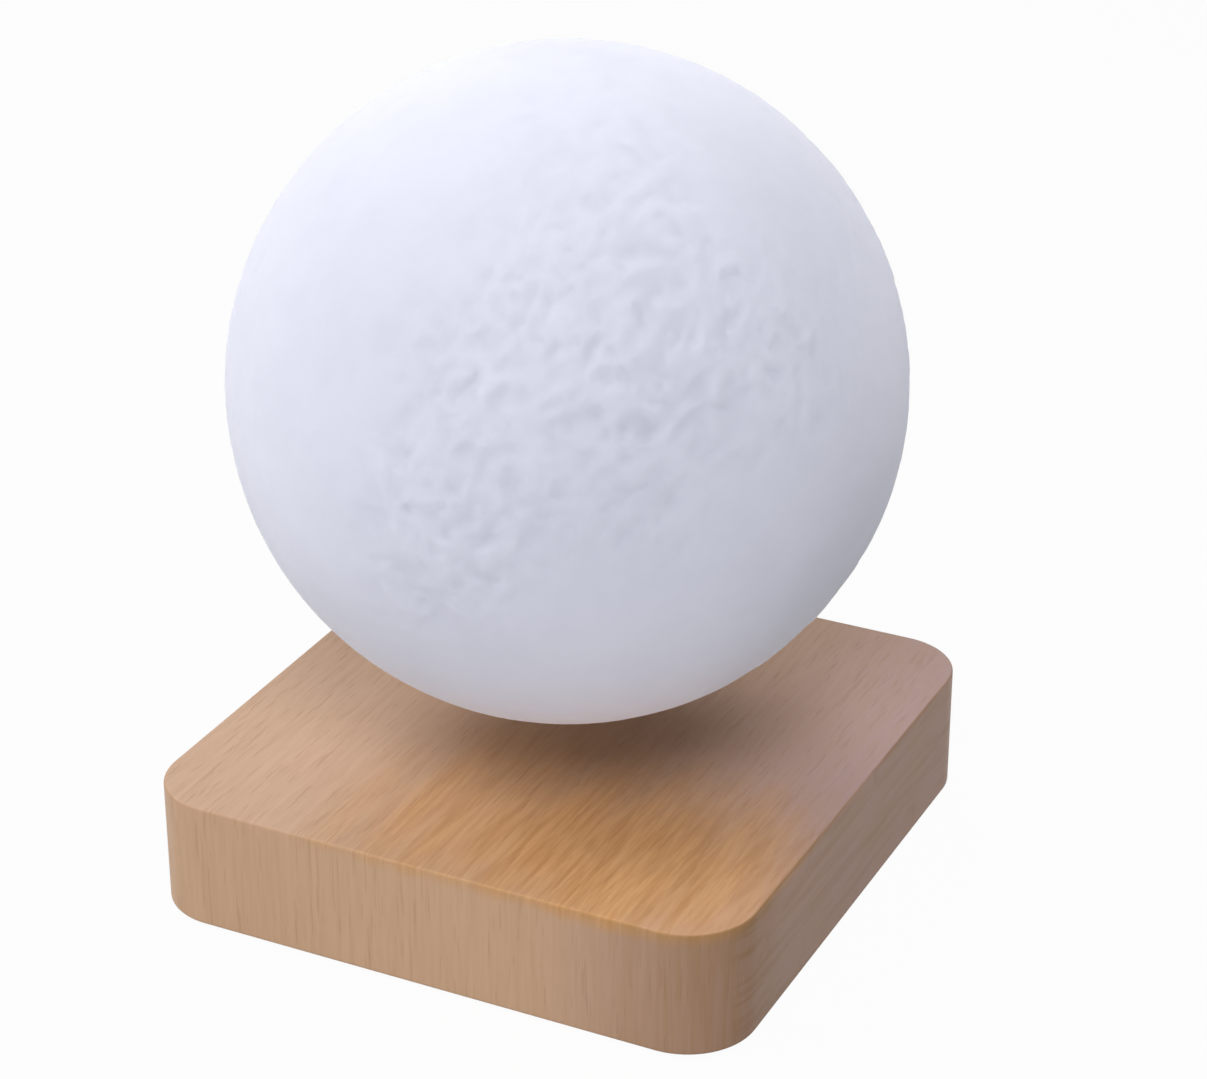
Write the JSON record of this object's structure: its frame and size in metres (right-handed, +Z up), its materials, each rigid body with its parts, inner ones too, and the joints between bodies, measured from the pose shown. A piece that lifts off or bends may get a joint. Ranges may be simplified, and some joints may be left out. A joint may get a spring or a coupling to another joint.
{
  "type": "levitating lamp",
  "caption": "Levitating moon lamp: a white printed moon ball with low relief floats and turns over a square wooden base with rounded corners.",
  "frame": {"origin": "on the table, under the middle of the square base", "axes": "+Z up through the floating moon, -Y to the front, +Y to the power socket in the back wall"},
  "size_m": [0.1398, 0.1406, 0.1782],
  "materials": {
    "wood": "satin, oiled, fine straight grain",
    "moon_plastic": "matte, printed layers",
    "coil_plastic": "matte",
    "black_plastic": "matte, fine texture",
    "foot_rubber": "matte",
    "screw_steel": "blackened",
    "green_circuit": "satin",
    "white_circuit": "satin",
    "ferrite": "matte",
    "copper_wire": "lacquered",
    "chip_black": "satin",
    "nickel": "polished",
    "capacitor_can": "satin",
    "led_phosphor": "satin"
  },
  "bodies": {
    "base": {"base_shell": "wood", "bottom_cover": "black_plastic", "magnet_tray": "black_plastic", "power_jack": "black_plastic", "rubber_foot_1": "foot_rubber", "rubber_foot_2": "foot_rubber", "rubber_foot_3": "foot_rubber", "rubber_foot_4": "foot_rubber", "cover_screw_1": "screw_steel", "cover_screw_2": "screw_steel", "cover_screw_3": "screw_steel", "cover_screw_4": "screw_steel", "stack_screw_1": "screw_steel", "stack_screw_2": "screw_steel", "stack_screw_3": "screw_steel", "stack_screw_4": "screw_steel", "control_board": "green_circuit", "coil_plate": "green_circuit", "ring_magnet": "ferrite", "coil_bobbin_1": "coil_plastic", "coil_bobbin_2": "coil_plastic", "coil_bobbin_3": "coil_plastic", "coil_bobbin_4": "coil_plastic", "coil_winding_1": "copper_wire", "coil_winding_2": "copper_wire", "coil_winding_3": "copper_wire", "coil_winding_4": "copper_wire", "power_coil": "copper_wire", "touch_electrode": "copper_wire", "hall_sensor_x": "chip_black", "hall_sensor_y": "chip_black", "hall_sensor_z": "chip_black", "control_chip": "chip_black", "coil_driver_1": "chip_black", "coil_driver_2": "chip_black", "power_inductor": "chip_black", "jack_pin": "nickel", "board_capacitor_1": "capacitor_can", "board_capacitor_2": "capacitor_can"},
    "magnet_float": {"float_magnet": "nickel"},
    "moon_ball": {"moon_shell": "moon_plastic", "float_cup": "coil_plastic", "receiver_coil": "copper_wire", "board_carrier": "coil_plastic", "light_board": "white_circuit", "light_screw_1": "screw_steel", "light_screw_2": "screw_steel", "light_screw_3": "screw_steel", "led_1": "led_phosphor", "led_2": "led_phosphor", "led_3": "led_phosphor", "led_4": "led_phosphor", "led_5": "led_phosphor", "led_6": "led_phosphor", "rectifier": "chip_black", "smoothing_capacitor": "capacitor_can"}
  },
  "joints": [
    {"name": "moon_lift", "type": "slide", "parent": "base", "child": "magnet_float", "axis": [0, 0, 1], "range_m": [-0.012, 0.06], "stiffness_N_per_m": 250, "springref_m": 0.01159},
    {"name": "moon_spin", "type": "hinge", "parent": "magnet_float", "child": "moon_ball", "pos_m": [0, 0, 0.108], "axis": [0, 0, 1], "continuous": true}
  ]
}
